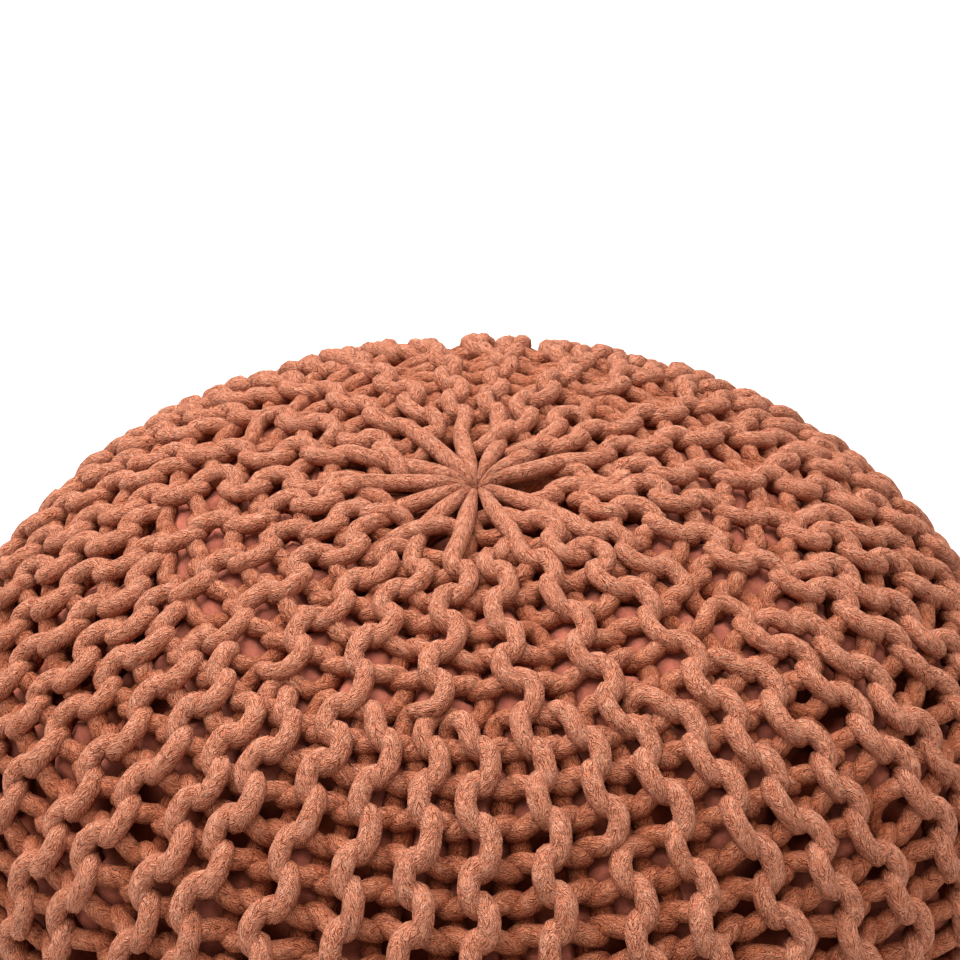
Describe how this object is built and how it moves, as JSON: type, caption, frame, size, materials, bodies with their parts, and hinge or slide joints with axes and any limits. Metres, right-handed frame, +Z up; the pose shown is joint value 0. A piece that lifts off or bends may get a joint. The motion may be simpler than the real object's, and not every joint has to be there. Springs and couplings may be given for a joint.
{
  "type": "knitted pouf",
  "caption": "Round knitted floor pouf: a thick cotton-cord garter-stitch cover, gathered at top and bottom, over a filled cloth casing.",
  "frame": {"origin": "on the floor, under the middle of the pouf", "axes": "+Z up along the axis through both gathers, -Y towards the viewer of the picture"},
  "size_m": [0.4992, 0.4996, 0.3174],
  "materials": {
    "cotton_cord": "soft matt cotton cord, terracotta pink",
    "casing_cloth": "plain close-woven cloth, dusty pink"
  },
  "bodies": {
    "root": {"knit_cover": "cotton_cord", "inner_casing": "casing_cloth"}
  },
  "joints": []
}
